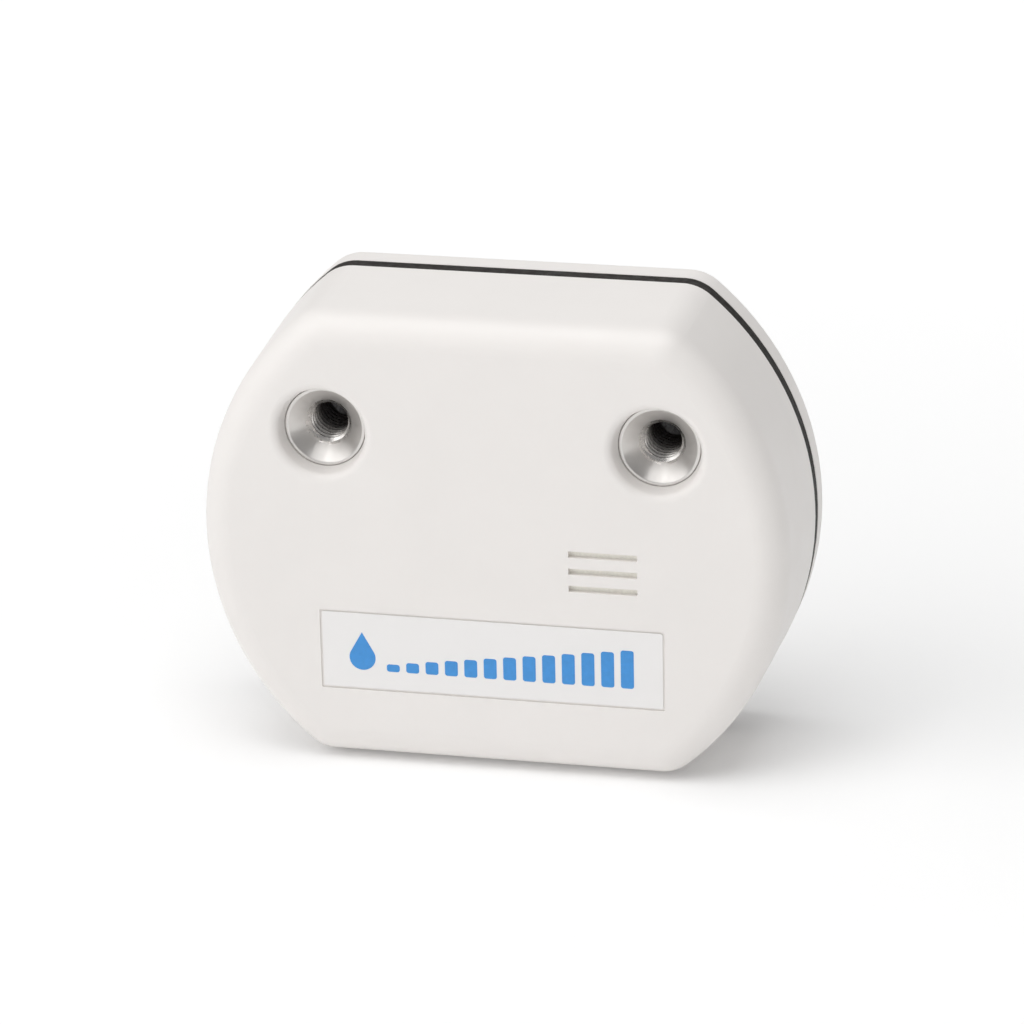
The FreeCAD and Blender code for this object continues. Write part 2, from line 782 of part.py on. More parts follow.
def socket_seal(side, x):
    """The rubber ring round a socket's nose, between its flange and the shell."""
    ring = doc.addObject("Part::Torus", f"socket_seal_{side}")
    ring.Label = f"socket_seal_{side}"
    bind(ring, "Radius1", "seal_diameter / 2")
    bind(ring, "Radius2", "seal_groove_depth / 2")
    ring.Placement.Rotation = Rotation(Vector(1, 0, 0), 90)
    place(ring, x, f"{FLANGE_FRONT} - seal_groove_depth / 2", "socket_rise")
    return ring


def socket_washers():
    body = new_body("socket_washer")
    sketch = new_sketch(body, "washer_ring", BOARD_BACK)
    draw_circle(sketch, "washer_diameter")
    draw_circle(sketch, "shank_diameter + 2 * nose_clearance")
    pad(body, sketch, "washer_depth", backward=True)
    return copies("socket_washers", body, SOCKET_SPOTS)


def socket_nuts():
    """Thin hexagon nuts that clamp the board to the sockets."""
    body = new_body("socket_nut")
    sketch = new_sketch(body, "nut_hexagon", f"{BOARD_BACK} + washer_depth")
    draw_hexagon(sketch, "nut_flats")
    draw_circle(sketch, "shank_diameter")
    pad(body, sketch, "nut_depth", backward=True)
    top, tip = f"{BOARD_BACK} + washer_depth + nut_depth", "nut_flats / sqrt(3) + nut_chamfer"
    turn_profile(body, "nut_corner", [
        ("nut_flats / 2 - nut_chamfer", top),
        (tip, f"{top} - ({tip} - nut_flats / 2 + nut_chamfer) / 2"),
        (tip, top),
    ], cut=True)
    return copies("socket_nuts", body, SOCKET_SPOTS)


# Main board and what is on it

def main_board():
    """The circuit board: round ends inside the shell's wall, holes for sockets, screws and tabs."""
    body = new_body("main_board")
    sketch = new_sketch(body, "board_outline", BOARD_FRONT)
    top_x = "sqrt(board_radius ^ 2 - board_top ^ 2)"
    bottom_x = "sqrt(board_radius ^ 2 - board_bottom ^ 2)"
    draw_profile(sketch, [
        (top_x, "board_top"),
        (f"0 - {top_x}", "board_top"),
        (f"0 - {bottom_x}", "0 - board_bottom"),
        (bottom_x, "0 - board_bottom"),
    ], arcs={1: "board_radius", 3: "board_radius"})
    for x, z in SOCKET_SPOTS:
        draw_circle(sketch, "shank_diameter + 2 * nose_clearance", x, z)
    for x, z in BOARD_POSTS:
        draw_circle(sketch, "board_screw_diameter + 2 * nose_clearance", x, z)
    for x, z in both_sides(f"({BAY_HALF} - contact_depth / 2)", f"{TAB_LOW} + tab_leg / 2"):
        draw_box(sketch, "tab_slot_width", "tab_leg + 2 * tab_slot_margin", x, z)
    pad(body, sketch, "board_depth", backward=True)
    return body


def block(name, width, height, depth, front, x, z, backward=True):
    """A body that starts as a rectangular block with one face at the given depth."""
    body = new_body(name, x, z=z)
    sketch = new_sketch(body, f"{name}_block", front)
    draw_box(sketch, width, height)
    pad(body, sketch, depth, backward=backward)
    return body


def leaded_chip(name, width, height, x, z, rows):
    """A moulded chip. Each row of leads is (count, pitch, upright) and runs under the package."""
    body = block(name, width, height, "chip_depth", f"{BOARD_BACK} + chip_lift", x, z)
    for row, (count, pitch, upright) in enumerate(rows):
        leads = new_sketch(body, f"{name}_leads_{row}", BOARD_BACK)
        across = f"{height if upright else width} + 2 * lead_reach"
        for step in range(int(number(count))):
            offset = f"({step} - ({count} - 1) / 2) * {pitch}"
            if upright:
                draw_box(leads, "lead_width", across, offset, "0")
            else:
                draw_box(leads, across, "lead_width", "0", offset)
        pad(body, leads, "lead_depth", backward=True)
    dimple = new_sketch(body, f"{name}_dimple", f"{BOARD_BACK} + chip_lift + chip_depth")
    corner = (f"dimple_inset - ({width}) / 2", f"({height}) / 2 - dimple_inset")
    draw_circle(dimple, "dimple_diameter", *corner)
    pocket(body, dimple, "dimple_depth")
    return body


def microcontroller():
    rows = [("controller_leads", "controller_lead_pitch", way) for way in (False, True)]
    return leaded_chip("microcontroller", "controller_width", "controller_width",
                       "controller_x", "controller_rise", rows)


def measuring_chip():
    return leaded_chip("measuring_chip", "meter_chip_width", "meter_chip_height",
                       "meter_chip_x", "meter_chip_rise", [("meter_leads", "meter_lead_pitch", False)])


def humidity_sensor():
    """The air sensor on the front of the board, in line with the vent."""
    body = block("humidity_sensor", "sensor_width", "sensor_width", "sensor_depth", BOARD_FRONT,
                 "slot_x", "slot_y", backward=False)
    window = new_sketch(body, "sensor_window", f"{BOARD_FRONT} - sensor_depth")
    draw_circle(window, "sensor_window_diameter")
    pocket(body, window, "sensor_window_depth", backward=True)
    return body


def radio_board():
    """The radio's own small board, with half-round solder notches along two edges."""
    body = block("radio_board", "radio_width", "radio_height", "radio_depth", BOARD_BACK,
                 "radio_x", "radio_rise")
    notches = new_sketch(body, "radio_notches", BOARD_BACK)
    for side in (-1, 1):
        for step in range(int(number("notch_count"))):
            rise = f"({step} - (notch_count - 1) / 2) * notch_pitch"
            draw_circle(notches, "notch_diameter", f"{side} * radio_width / 2", rise)
    pocket(body, notches, "radio_depth", backward=True)
    return body


def radio_shield():
    """A drawn metal can over the radio, open towards its board."""
    front = f"{BOARD_BACK} + radio_depth"
    body = block("radio_shield", "shield_width", "shield_height", "shield_depth", front,
                 "radio_x", "radio_rise")
    back = number(f"{front} + shield_depth")
    round_edges(body, "shield_round", "shield_round", lambda edge: edge.BoundBox.YMax > back - TOLERANCE)
    hollow = new_sketch(body, "shield_hollow", front)
    draw_box(hollow, "shield_width - 2 * shield_wall", "shield_height - 2 * shield_wall")
    pocket(body, hollow, "shield_depth - shield_wall", backward=True)
    return body


def coil(body, name, wire, diameter, start, length, turns):
    """A wire wound about the body's X axis."""
    sketch = new_sketch(body, f"{name}_wire", role="XY_Plane")
    draw_circle(sketch, wire, start, f"0 - {diameter} / 2")
    helix = body.newObject("PartDesign::AdditiveHelix", f"{name}_helix")
    helix.Profile = sketch
    helix.ReferenceAxis = (sketch, ["H_Axis"])
    helix.Mode = "height-turns-angle"
    bind(helix, "Height", length)
    bind(helix, "Turns", turns)
    sketch.Visibility = False
    doc.recompute()
    return helix


def antenna_coil():
    """A wire coil along the board's top edge, on two straight legs."""
    axis = f"{BOARD_BACK} + antenna_leg + (antenna_diameter + antenna_wire) / 2"
    body = new_body("antenna_coil", "antenna_x", axis, "antenna_rise")
    length = "(antenna_pitch * antenna_turns)"
    coil(body, "antenna", "antenna_wire", "antenna_diameter", f"0 - {length} / 2", length,
         "antenna_turns")
    legs = new_sketch(body, "antenna_legs", "0 - antenna_diameter / 2")
    for side in (-1, 1):
        draw_circle(legs, "antenna_wire", f"{side} * {length} / 2", "0")
    pad(body, legs, "antenna_leg + antenna_wire / 2")
    return body


def storage_capacitor():
    """A can capacitor on a square base."""
    body = block("storage_capacitor", "capacitor_base", "capacitor_base", "capacitor_base_depth",
                 BOARD_BACK, "capacitor_x", "capacitor_rise")
    top, neck = f"{BOARD_BACK} + capacitor_depth", f"{BOARD_BACK} + capacitor_base_depth"
    turn_profile(body, "capacitor_can", [
        ("0", top),
        ("0", BOARD_BACK),
        ("capacitor_diameter / 2 - can_groove", BOARD_BACK),
        ("capacitor_diameter / 2 - can_groove", f"{neck} + can_groove"),
        ("capacitor_diameter / 2", f"{neck} + 2 * can_groove"),
        ("capacitor_diameter / 2", f"{top} - can_groove"),
        ("capacitor_diameter / 2 - can_groove", top),
    ])
    return body


def crystal():
    body = block("crystal", "crystal_width", "crystal_height", "crystal_depth", BOARD_BACK,
                 "crystal_x", "crystal_rise")
    round_edges(body, "crystal_corners", "shield_round", lambda edge: edge.BoundBox.YLength > 0.1)
    return body


def status_lamp():
    """A small lamp: a base with a narrower lens on it."""
    body = block("status_lamp", "lamp_width", "lamp_height", "lamp_depth / 2", BOARD_BACK,
                 "lamp_x", "lamp_rise")
    lens = new_sketch(body, "lamp_lens", f"{BOARD_BACK} + lamp_depth / 2")
    draw_box(lens, "lamp_width / 2", "lamp_height")
    pad(body, lens, "lamp_depth / 2", backward=True)
    return body


def button_base():
    """The switch body, with a round bore for its plunger."""
    body = block("button_base", "button_base_width", "button_base_width", "button_base_depth",
                 BOARD_BACK, "button_x", "button_rise")
    bore = new_sketch(body, "button_bore", f"{BOARD_BACK} + button_base_depth")
    draw_circle(bore, "button_bore")
    pocket(body, bore, "button_bore_depth")
    return body


def pairing_button():
    """The plunger that is pressed with the cover off. It stops short of the bore's floor."""
    body = new_body("pairing_button", "button_x", z="button_rise")
    floor = f"{BOARD_BACK} + button_base_depth - button_bore_depth + button_gap"
    sketch = new_sketch(body, "plunger", floor)
    draw_circle(sketch, "button_diameter")
    pad(body, sketch, "button_stem", backward=True)
    round_edges(body, "plunger_round", "button_round", flat_at(f"{floor} + button_stem"))
    return body


def small_parts(label_text, spots):
    """The same small chip many times over, with its two end caps a little proud."""
    body = block(f"{label_text}_one", "chip_length - 2 * chip_cap", "chip_width - chip_step",
                 "chip_thickness - chip_step", f"{BOARD_BACK} + chip_step / 2", "0", "0")
    caps = new_sketch(body, f"{label_text}_caps", BOARD_BACK)
    for side in (-1, 1):
        draw_box(caps, "chip_cap", "chip_width", f"{side} * (chip_length - chip_cap) / 2", "0")
    pad(body, caps, "chip_thickness", backward=True)
    return copies(label_text, body, [(str(x), str(z)) for x, z in spots])


# Battery bay, drawn about the cell's own axis

def bay_body(name):
    return new_body(name, y=CELL_AXIS, z="0 - cell_drop")


def battery_holder():
    """A moulded cradle for the lower half of the cell, with end walls behind the contacts."""
    body = bay_body("battery_holder")
    half = f"({BAY_HALF} + holder_wall)"
    bore = "(cell_diameter / 2 + cell_clearance)"
    base = new_sketch(body, "holder_base", f"0 - {bore} - holder_floor")
    draw_box(base, f"2 * {half}", "holder_height")
    pad(body, base, f"{bore} + holder_floor", backward=True)
    ends = new_sketch(body, "holder_ends", "0")
    for side in (-1, 1):
        draw_box(ends, "holder_wall", "end_wall_width", f"{side} * ({half} - holder_wall / 2)", "0")
    pad(body, ends, "contact_width / 2 + cell_clearance", backward=True)
    turn_profile(body, "holder_bore", [
        (f"0 - {BAY_HALF}", f"0 - {bore}"),
        (BAY_HALF, f"0 - {bore}"),
        (BAY_HALF, "0"),
        (f"0 - {BAY_HALF}", "0"),
    ], axis="H_Axis", cut=True)
    pegs = new_sketch(body, "peg_holes", f"0 - {bore} - holder_floor")
    for x, _ in PEG_SPOTS:
        draw_circle(pegs, "peg_diameter + 2 * nose_clearance", x, "0")
    pocket(body, pegs, "2 * holder_floor", backward=True)
    return body


def battery_cell():
    """A half-AA cell along X with its raised cap towards +X."""
    body = bay_body("battery_cell")
    can_end = f"{CELL_START} + cell_length"
    cap_end = f"{can_end} + cell_cap_length"
    turn_profile(body, "cell_profile", [
        (CELL_START, "0"),
        (cap_end, "0"),
        (cap_end, "0 - cell_cap_diameter / 2"),
        (can_end, "0 - cell_cap_diameter / 2"),
        (can_end, "0 - cell_diameter / 2"),
        (CELL_START, "0 - cell_diameter / 2"),
    ], axis="H_Axis")
    radius = number("cell_diameter") / 2
    round_edges(body, "cell_edges", "cell_edge_round",
                lambda edge: hasattr(edge.Curve, "Radius") and abs(edge.Curve.Radius - radius) < TOLERANCE)
    return body


def contact(name, inner_side):
    """A flat contact plate at one end of the bay, with an arm and a leg that enters the board."""
    body = bay_body(name)
    near = f"0 - {BAY_HALF}" if inner_side > 0 else f"{BAY_HALF} - contact_depth"
    sketch = new_sketch(body, f"{name}_plate", near, role="YZ_Plane")
    low, high = "0 - contact_width / 2", "contact_width / 2"
    arm_low, arm_high = "tab_rise", "tab_rise + tab_width"
    leg_front = f"{BOARD_FRONT} - {CELL_AXIS}"
    leg_low, leg_high = f"{TAB_LOW} + cell_drop", f"{TAB_LOW} + tab_leg + cell_drop"
    draw_profile(sketch, [
        (low, low), (high, low), (high, high), (arm_high, high), (arm_high, leg_high),
        (leg_front, leg_high), (leg_front, leg_low), (arm_low, leg_low), (arm_low, high), (low, high),
    ])
    pad(body, sketch, "contact_depth")
    return body


def battery_spring():
    """The coiled contact between the plate and the cell's flat end."""
    body = bay_body("battery_spring")
    start = f"contact_depth + spring_wire / 2 - {BAY_HALF}"
    coil(body, "spring", "spring_wire", "spring_diameter", start, "(spring_space - spring_wire)",
         "spring_turns")
    return body


def battery_pad():
    """The foam strip inside the cover that keeps the cell in its cradle."""
    front = f"{CELL_AXIS} + cell_diameter / 2 + pad_gap"
    body = block("battery_pad", "pad_width", "pad_height", f"{COVER_INNER} - ({front})", front,
                 "0", "0 - cell_drop")
    round_edges(body, "pad_corners", "pad_round", lambda edge: edge.BoundBox.YLength > 0.1)
    return body


# Vent

def vent_membrane():
    """The breathable sheet behind the vent slots."""
    return block("vent_membrane", "membrane_width", "membrane_height", "membrane_depth", VENT_FACE,
                 "slot_x", "slot_y")


def vent_collar():
    """The foam collar that joins the vent to the air sensor."""
    front = f"({VENT_FACE} + membrane_depth)"
    body = block("vent_collar", "collar_width", "collar_height", f"{BOARD_FRONT} - {front}", front,
                 "slot_x", "slot_y")
    hollow = new_sketch(body, "collar_hollow", front)
    draw_box(hollow, "collar_width - 2 * collar_wall", "collar_height - 2 * collar_wall")
    pocket(body, hollow, f"{BOARD_FRONT} - {front}", backward=True)
    return body


def build_parts():
    """Every sub-part of the meter, each an object of its own."""
    parts = [front_shell(), back_cover(), cover_gasket(), front_label(), rating_label()]
    parts += [cover_screws(), cover_inserts()]
    for side, (x, _) in zip(("left", "right"), SOCKET_SPOTS):
        parts += [probe_socket(side, x), socket_seal(side, x)]
    parts += [socket_washers(), socket_nuts(), main_board(), board_screws()]
    parts += [microcontroller(), measuring_chip(), humidity_sensor(), radio_board(), radio_shield()]
    parts += [antenna_coil(), storage_capacitor(), crystal(), status_lamp()]
    parts += [button_base(), pairing_button()]
    parts += [small_parts(name, spots) for name, spots in SMALL_PARTS.items()]
    parts += [battery_holder(), battery_cell(), battery_spring(), battery_pad()]
    parts += [contact("negative_contact", 1), contact("positive_contact", -1)]
    parts += [vent_membrane(), vent_collar()]
    return parts


def check(parts):
    """Stop if any object failed to build or any sub-part isn't sound."""
    failed = [item.Name for item in doc.Objects if {"Invalid", "Error"} & set(item.State)]
    if failed:
        raise RuntimeError(f"these objects failed: {failed}")
    for part in parts:
        shape = part.Shape
        if shape.isNull() or not shape.isValid() or not shape.Solids:
            raise RuntimeError(f"{part.Label} has no sound shape")


def write(parts):
    os.makedirs("parts", exist_ok=True)
    for part in parts:
        part.Shape.exportStep(os.path.join("parts", f"{part.Label}.step"))


fill_sheet()
all_parts = build_parts()
doc.recompute()
check(all_parts)
write(all_parts)
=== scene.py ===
"""Looks of the wireless moisture meter: procedural materials, printed label, light and camera.

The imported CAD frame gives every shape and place. Lengths here are in metres, in the same frame:
X is the width, the probe face looks towards -Y, and Z is up from the flat the meter stands on.
"""
import math

import bmesh
import bpy
from mathutils import Matrix, Vector


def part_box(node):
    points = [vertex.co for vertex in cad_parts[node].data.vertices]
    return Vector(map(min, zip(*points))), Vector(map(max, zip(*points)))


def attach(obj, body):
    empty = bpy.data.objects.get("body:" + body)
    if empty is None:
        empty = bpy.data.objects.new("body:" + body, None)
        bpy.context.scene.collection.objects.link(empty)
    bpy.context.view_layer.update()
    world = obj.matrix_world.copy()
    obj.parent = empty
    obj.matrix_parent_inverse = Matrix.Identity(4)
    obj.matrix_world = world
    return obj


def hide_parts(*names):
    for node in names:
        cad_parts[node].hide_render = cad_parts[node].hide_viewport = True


MM = 0.001
SOCKETS = ("probe_socket_left", "probe_socket_right")

# Camera, about the middle of the seam
TARGET = Vector((0, 5.3, 27.0)) * MM
AZIMUTH = math.radians(13.15)
ELEVATION = math.radians(21.28)
ROLL = math.radians(-1.21)
DISTANCE = 582.9 * MM
LENS = 179.2
SENSOR_WIDTH = 36
SHIFT = (-0.0096, -0.0138)
CLIP_START = 10 * MM

# Light: each softbox has a direction from the meter and a power in watts
SOFTBOX_DISTANCE = 0.9
SOFTBOX_SIZE = 0.7
SOFTBOXES = {
    "key_light": ((-0.62, -0.5, 0.6), 2.5),
    "top_light": ((0, -0.15, 1), 4.4),
    "front_light": ((0, -1, -0.05), 1.3),
    "left_light": ((-1, -0.25, 0.1), 0.3),
    "back_light": ((0, 1, 0.5), 0.7),
}
SKY_STRENGTH = 0.31
BACKDROP_STRENGTH = 1.0

# Floor, which glows more from GLOW_START to GLOW_END away from the meter
FLOOR_SIZE = 6.0
FLOOR_GLOW = 0.095
FAR_GLOW = 0.26
GLOW_START = 0.05
GLOW_END = 0.24

# Probe sockets, M5 x 0.8
RING_DIAMETER = 9.26 * MM
RING_LAND = 0.35 * MM
RING_ROUND = 0.08 * MM
LIP_SIZE = 0.1 * MM
LIP_RADIUS = 0.3 * MM
FUNNEL_DEPTH = 1.5 * MM
FLARE_RADIUS = 30.0 * MM
FLARE_STEPS = 14
EDGE_STEPS = 5
SOCKET_MOUTH = 5.3 * MM
MOUTH_CHAMFER = 0.55 * MM
NOSE_LENGTH = 2.75 * MM
FLANGE_DEPTH = 2.0 * MM
FLANGE_INNER = 3.8 * MM
SHANK_DIAMETER = 7.0 * MM
SHANK_CHAMFER = 0.5 * MM
THREAD_INNER = 2.1 * MM
THREAD_OUTER = 2.5 * MM
THREAD_PITCH = 0.8 * MM
THREAD_LENGTH = 8.5 * MM
DRILL_TIP = 0.76 * MM
# The thread's groove in shares of one pitch: its middle, and its half width at the top and the floor
GROOVE_MIDDLE = 0.62
GROOVE_TOP = 0.37
GROOVE_FLOOR = 0.06
THREAD_ROWS = 20
# How deep inside the thread the painted shade starts to darken the steel, and how deep it is at its
# darkest
BORE_SHADE = (1.2 * MM, 4.8 * MM)

# Meshes
LATHE_STEPS = 120
HEXAGON_STEPS = 6
SHARP_ANGLE = math.radians(32)
WELD_DISTANCE = 0.001 * MM

# Label print, where a drop's roundness is its radius as a share of its height
PRINT_MARGIN_X = 3.2 * MM
PRINT_MARGIN_Z = 2.2 * MM
PRINT_PROUD = 0.02 * MM
PRINT_THICKNESS = 0.03 * MM
DROP_MIDDLE = 1.4 * MM
DROP_HEIGHT = 4.6 * MM
DROP_ROUNDNESS = 0.33
DROP_STEPS = 28
BAR_COUNT = 13
BAR_START = 4.2 * MM
BAR_PITCH = 2.25 * MM
BAR_WIDTH = 1.5 * MM
BAR_LOWEST = 0.9 * MM
BAR_HIGHEST = 4.6 * MM
BAR_CORNER = 0.3 * MM
CORNER_STEPS = 6

# Colours, linear
SHELL_WHITE = (0.85, 0.82, 0.795)
FILM_WHITE = (0.86, 0.845, 0.835)
FELT_WHITE = (0.94, 0.92, 0.85)
LENS_WHITE = (0.86, 0.86, 0.78)
FLOOR_WHITE = (0.93, 0.93, 0.93)
LIGHT_WHITE = (1, 1, 1, 1)
PRINT_BLUE = (0.045, 0.28, 0.68)
GASKET_BLACK = (0.016, 0.013, 0.011)
SEAL_BLACK = (0.02, 0.02, 0.02)
MOULD_BLACK = (0.02, 0.02, 0.022)
SWITCH_BLACK = (0.03, 0.03, 0.033)
RESISTOR_BLACK = (0.03, 0.03, 0.03)
HOLDER_BLACK = (0.035, 0.035, 0.04)
SENSOR_GREY = (0.05, 0.05, 0.05)
COLLAR_GREY = (0.05, 0.05, 0.05)
PAD_GREY = (0.06, 0.06, 0.065)
PLUNGER_GREY = (0.50, 0.51, 0.53)
CAPACITOR_BROWN = (0.42, 0.30, 0.18)
MASK_GREEN = (0.012, 0.12, 0.045)
TRACK_GREEN = (0.03, 0.22, 0.08)
MASK_BLUE = (0.01, 0.03, 0.13)
TRACK_BLUE = (0.02, 0.07, 0.24)
SLEEVE_GREEN = (0.10, 0.34, 0.30)
SLEEVE_GREY = (0.62, 0.63, 0.62)
STEEL = (0.66, 0.64, 0.62)
# Painted shade of the deep threaded bore
PAINTED_BORE_SHADE = (0.06, 0.05, 0.045)
WASHER_STEEL = (0.62, 0.61, 0.59)
NUT_STEEL = (0.60, 0.59, 0.57)
SCREW_STEEL = (0.58, 0.57, 0.55)
SCREW_ZINC = (0.66, 0.66, 0.64)
SHIELD_STEEL = (0.66, 0.65, 0.62)
CAN_ALUMINIUM = (0.72, 0.72, 0.72)
CRYSTAL_LID = (0.70, 0.67, 0.60)
ANTENNA_GOLD = (0.80, 0.62, 0.32)
NICKEL = (0.72, 0.70, 0.66)
TIN = (0.70, 0.70, 0.68)
BRASS = (0.78, 0.57, 0.22)

# Where colours change on the chips and the cell
CHIP_EDGE = 0.01 * MM
CONTROLLER_WIDTH = 7.0 * MM
METER_CHIP_WIDTH = 3.9 * MM
METER_CHIP_HEIGHT = 4.9 * MM
SLEEVE_OPENING = 11.5 * MM
SLEEVE_BAND = 5.5 * MM
SLEEVE_EDGE = 0.1 * MM

# Shader nodes
PATCH_DETAIL = 3.0
WAVES_PER_UNIT = 3.18
# A Mix node's colour sockets, by place
MIX_FIRST = 6
MIX_SECOND = 7
MIX_RESULT = 2


class Shader:
    """One procedural material around a Principled shader, in the meter's own coordinates."""

    def __init__(self, name, colour, roughness, metallic=0.0, **sockets):
        self.material = bpy.data.materials.new(name)
        self.material.use_nodes = True
        self.material.diffuse_color = (*colour, 1)
        self.nodes = self.material.node_tree.nodes
        self.links = self.material.node_tree.links
        self.surface = self.nodes["Principled BSDF"]
        self.colour = colour
        self.set("Base Color", (*colour, 1))
        self.set("Roughness", roughness)
        self.set("Metallic", metallic)
        for socket, value in sockets.items():
            self.set(socket.replace("_", " "), value)
        self.place = self.nodes.new("ShaderNodeTexCoord").outputs["Object"]

    def set(self, socket, value):
        """Sets a value of the surface that is the same all over."""
        self.surface.inputs[socket].default_value = value

    def link(self, output, socket):
        """Feeds a socket of the surface from another node."""
        self.links.new(output, self.surface.inputs[socket])

    def node(self, kind, settings=None, **inputs):
        """A new node, its inputs linked from other nodes or set to values."""
        node = self.nodes.new(kind)
        for name, value in (settings or {}).items():
            setattr(node, name, value)
        for name, value in inputs.items():
            target = node.inputs[name.replace("_", " ")]
            if isinstance(value, bpy.types.NodeSocket):
                self.links.new(value, target)
            else:
                target.default_value = value
        return node

    def shifted(self, centre, stretch=(1, 1, 1)):
        """The meter's coordinates measured from the centre, then stretched."""
        moved = self.node("ShaderNodeVectorMath", {"operation": "SUBTRACT"})
        self.links.new(self.place, moved.inputs[0])
        moved.inputs[1].default_value = centre
        scaled = self.node("ShaderNodeVectorMath", {"operation": "MULTIPLY"})
        self.links.new(moved.outputs[0], scaled.inputs[0])
        scaled.inputs[1].default_value = stretch
        return scaled.outputs[0]

    def length(self, vector):
        """How long a vector is."""
        measure = self.node("ShaderNodeVectorMath", {"operation": "LENGTH"})
        self.links.new(vector, measure.inputs[0])
        return measure.outputs["Value"]

    def noise(self, size, detail):
        """Noise whose grains are about that size across."""
        return self.node("ShaderNodeTexNoise", Vector=self.place, Scale=1 / size,
                         Detail=detail).outputs["Fac"]

    def cells(self, size):
        """Distance to the middle of the nearest of many scattered cells."""
        return self.node("ShaderNodeTexVoronoi", Vector=self.place,
                         Scale=1 / size).outputs["Distance"]

    def waves(self, size, place=None, rings=None, distortion=0.0):
        """Parallel bands across X, or rings about an axis."""
        settings = {"wave_type": "RINGS", "rings_direction": rings} if rings else {}
        return self.node("ShaderNodeTexWave", settings, Vector=place or self.place,
                         Scale=1 / size / WAVES_PER_UNIT, Distortion=distortion).outputs["Fac"]

    def spread(self, value, low, high, start=0.3, end=0.7):
        """The value stretched so that start to end becomes low to high."""
        return self.node("ShaderNodeMapRange", Value=value, From_Min=start, From_Max=end,
                         To_Min=low, To_Max=high).outputs["Result"]

    def blend(self, factor, first, second):
        """A colour between two, by a factor from 0 to 1."""
        mix = self.node("ShaderNodeMix", {"data_type": "RGBA"})
        self.links.new(factor, mix.inputs["Factor"])
        for socket, colour in ((mix.inputs[MIX_FIRST], first), (mix.inputs[MIX_SECOND], second)):
            if isinstance(colour, bpy.types.NodeSocket):
                self.links.new(colour, socket)
            else:
                socket.default_value = (*colour, 1)
        return mix.outputs[MIX_RESULT]

    def vary(self, size, amount):
        """Makes the base colour lighter and darker in soft patches."""
        darker = [part * (1 - amount) for part in self.colour]
        lighter = [min(1, part * (1 + amount)) for part in self.colour]
        factor = self.spread(self.noise(size, PATCH_DETAIL), 0, 1)
        self.link(self.blend(factor, darker, lighter), "Base Color")

    def gloss(self, size, low, high, detail=PATCH_DETAIL):
        """Makes the roughness wander between two values."""
        self.link(self.spread(self.noise(size, detail), low, high), "Roughness")

    def relief(self, height, depth, strength):
        """Adds a bump of that depth, over any bump the surface already has."""
        bump = self.node("ShaderNodeBump", Height=height, Distance=depth, Strength=strength)
        earlier = self.surface.inputs["Normal"].links
        if earlier:
            self.links.new(earlier[0].from_socket, bump.inputs["Normal"])
        self.link(bump.outputs["Normal"], "Normal")


# Materials

def moulded_shell():
    """Off-white moulded plastic with a fine spark-eroded grain."""
    shader = Shader("shell_plastic", SHELL_WHITE, 0.42, Specular_IOR_Level=0.45)
    shader.vary(9 * MM, 0.008)
    shader.gloss(3 * MM, 0.36, 0.48)
    shader.relief(shader.noise(0.35 * MM, 4), 0.02 * MM, 0.35)
    return shader.material


def rubber(name, colour):
    """Matt rubber with a fine grain."""
    shader = Shader(name, colour, 0.7, Specular_IOR_Level=0.35)
    shader.vary(1.2 * MM, 0.25)
    shader.gloss(0.8 * MM, 0.55, 0.8)
    shader.relief(shader.noise(0.3 * MM, 4), 0.03 * MM, 0.5)
    return shader.material


def foam(name, colour):
    """Open-cell foam with small pores, their middles darkened by painted shade."""
    shader = Shader(name, colour, 0.95, Specular_IOR_Level=0.2)
    pores = shader.cells(0.35 * MM)
    # Painted shade inside the pores: their middles are darker
    darker = [part * 0.45 for part in colour]
    shader.link(shader.blend(shader.spread(pores, 0, 1, 0.1, 0.6), darker, colour), "Base Color")
    shader.relief(pores, 0.12 * MM, 0.8)
    return shader.material


def label_film():
    """Satin white film with faint orange peel."""
    shader = Shader("label_film", FILM_WHITE, 0.36, Specular_IOR_Level=0.4)
    shader.vary(12 * MM, 0.004)
    shader.gloss(6 * MM, 0.34, 0.4)
    shader.relief(shader.noise(0.5 * MM, 2), 0.004 * MM, 0.2)
    return shader.material


def ink():
    """Printed ink, a little uneven like a screen print."""
    shader = Shader("label_ink", PRINT_BLUE, 0.38)
    shader.vary(0.5 * MM, 0.05)
    shader.gloss(0.6 * MM, 0.3, 0.45)
    shader.relief(shader.noise(0.15 * MM, 3), 0.004 * MM, 0.4)
    return shader.material


def turned_steel(name, centre):
    """Stainless steel with fine lathe marks round an axis along Y, through the centre."""
    shader = Shader(name, STEEL, 0.3, metallic=1.0, Anisotropic=0.6, Anisotropic_Rotation=0.25)
    around = shader.node("ShaderNodeTangent", {"direction_type": "RADIAL", "axis": "Y"})
    shader.link(around.outputs["Tangent"], "Tangent")
    marks = shader.waves(0.11 * MM, shader.shifted(centre), rings="Y", distortion=0.6)
    shader.vary(1.6 * MM, 0.02)
    shader.gloss(1.6 * MM, 0.30, 0.36, detail=2)
    shader.relief(marks, 0.004 * MM, 0.25)
    return shader.material


def tapped_steel(mouth):
    """The same steel inside the threads, bright at the mouth's Y and darkened by painted shade deeper
    down.
    """
    shader = Shader("tapped_steel", STEEL, 0.28, metallic=1.0)
    depth = shader.node("ShaderNodeSeparateXYZ", Vector=shader.place).outputs["Y"]
    bright, fully_shaded = (mouth + inside for inside in BORE_SHADE)
    # Painted shade: deeper in the bore the steel turns dark and less metallic
    painted_shade = shader.spread(depth, 0, 1, bright, fully_shaded)
    shader.link(shader.blend(painted_shade, STEEL, PAINTED_BORE_SHADE), "Base Color")
    shader.link(shader.spread(depth, 1, 0, bright, fully_shaded), "Metallic")
    shader.gloss(0.6 * MM, 0.22, 0.32, detail=2)
    shader.relief(shader.noise(0.2 * MM, 2), 0.001 * MM, 0.3)
    return shader.material


